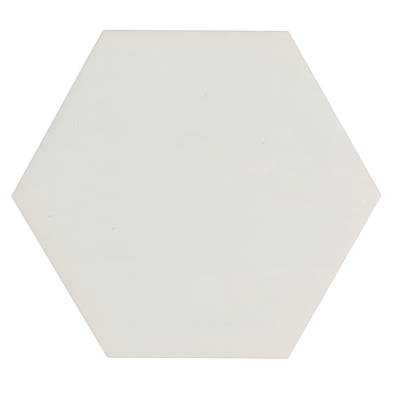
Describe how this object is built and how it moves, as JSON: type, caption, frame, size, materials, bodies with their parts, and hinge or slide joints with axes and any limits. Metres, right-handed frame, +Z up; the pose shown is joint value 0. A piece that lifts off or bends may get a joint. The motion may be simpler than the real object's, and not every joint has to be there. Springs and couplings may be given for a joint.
{
  "type": "hexagon floor tile",
  "caption": "Flat six-sided floor tile with a plain off-white glazed face, a softly rounded arris, hand-cut sides and dovetail keying grooves across its back.",
  "frame": {"origin": "middle of the underside: the centre of the box that the tile fills, at the level of the ribs' feet, on the rib that runs along the middle of the back", "axes": "+Z up, out of the glazed face. +X to the right from corner to corner, along the keying grooves. +Y across the grooves, towards the cut side at the top of the picture."},
  "size_m": [0.2286, 0.2032, 0.012],
  "materials": {
    "glazed_clay": "satin"
  },
  "bodies": {
    "root": {"tile": "glazed_clay"}
  },
  "joints": []
}
